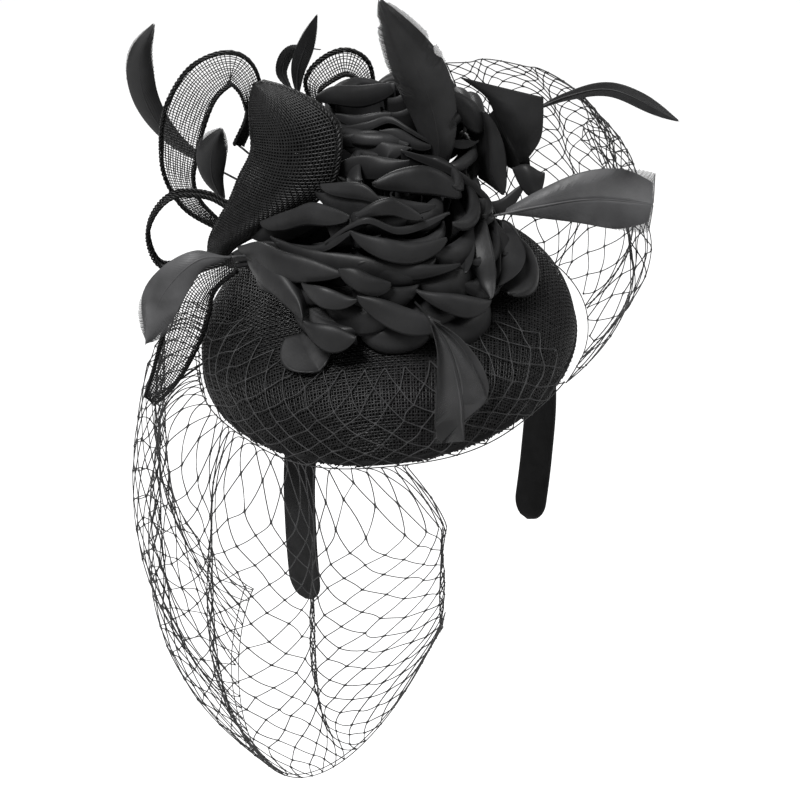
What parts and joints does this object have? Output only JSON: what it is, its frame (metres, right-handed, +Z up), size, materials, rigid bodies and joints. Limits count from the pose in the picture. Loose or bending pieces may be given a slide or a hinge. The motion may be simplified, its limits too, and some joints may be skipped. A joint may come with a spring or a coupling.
{
  "type": "fascinator headpiece",
  "caption": "Black fascinator: tilted straw crown on a sprung headband, with cloth flowers, straw loops, feathers and a net veil.",
  "frame": {"origin": "middle of the headband's inner face at its top, where it rests on the head", "axes": "+Z up, the wearer faces -Y and the wearer's right is -X"},
  "size_m": [0.1922, 0.218, 0.3382],
  "materials": {
    "straw": "matte woven sinamay straw, black",
    "satin": "satin cloth with heat-rolled edges, black",
    "felt": "matte felt, black",
    "feather": "soft sheen of combed barbs, charcoal black",
    "net": "fine knotted thread, black",
    "ribbon": "matte woven cloth tape, black",
    "spring_plastic": "springy black plastic",
    "wire": "millinery wire"
  },
  "bodies": {
    "root": {"band_core_bridge": "spring_plastic", "band_cover_bridge": "ribbon", "crown_shell": "straw", "crown_lining": "straw", "rim_wire": "wire", "rim_binding": "ribbon", "saddle_pad": "felt", "keeper_strap": "felt", "keeper_tack_front": "ribbon", "keeper_tack_back": "ribbon", "flower_felt": "felt", "rose_stem": "felt", "rose_petals_1": "satin", "rose_petals_2": "satin", "rose_petals_3": "satin", "rose_petals_4": "satin", "rose_petals_5": "satin", "rose_petals_6": "satin", "rose_heart": "satin", "bloom_stem": "felt", "bloom_petals_1": "satin", "bloom_petals_2": "satin", "bloom_petals_3": "satin", "bloom_heart": "satin", "folded_petal": "satin", "front_sepal": "satin", "loop_front": "straw", "loop_back": "straw", "loop_small": "straw", "loop_top": "straw", "bow_tail": "straw", "feather_top": "feather", "feather_right": "feather", "feather_front": "feather", "feather_left": "feather", "feather_curl": "feather", "feather_spray": "feather", "feather_hook": "feather", "feather_arched": "feather", "feather_leaf": "feather", "veil_crown": "net", "veil_cheek": "net", "veil_puff": "net"},
    "arm_right": {"band_core_arm_right": "spring_plastic", "band_cover_arm_right": "ribbon"},
    "arm_left": {"band_core_arm_left": "spring_plastic", "band_cover_arm_left": "ribbon"}
  },
  "joints": [
    {"name": "arm_right_flex", "type": "hinge", "parent": "root", "child": "arm_right", "pos_m": [-0.0638, 0.0004, -0.0373], "axis": [0, 1, 0], "range_deg": [-3, 12], "stiffness_Nm_per_rad": 0.4},
    {"name": "arm_left_flex", "type": "hinge", "parent": "root", "child": "arm_left", "pos_m": [0.0638, 0.0004, -0.0373], "axis": [0, -1, 0], "range_deg": [-3, 12], "stiffness_Nm_per_rad": 0.4}
  ]
}
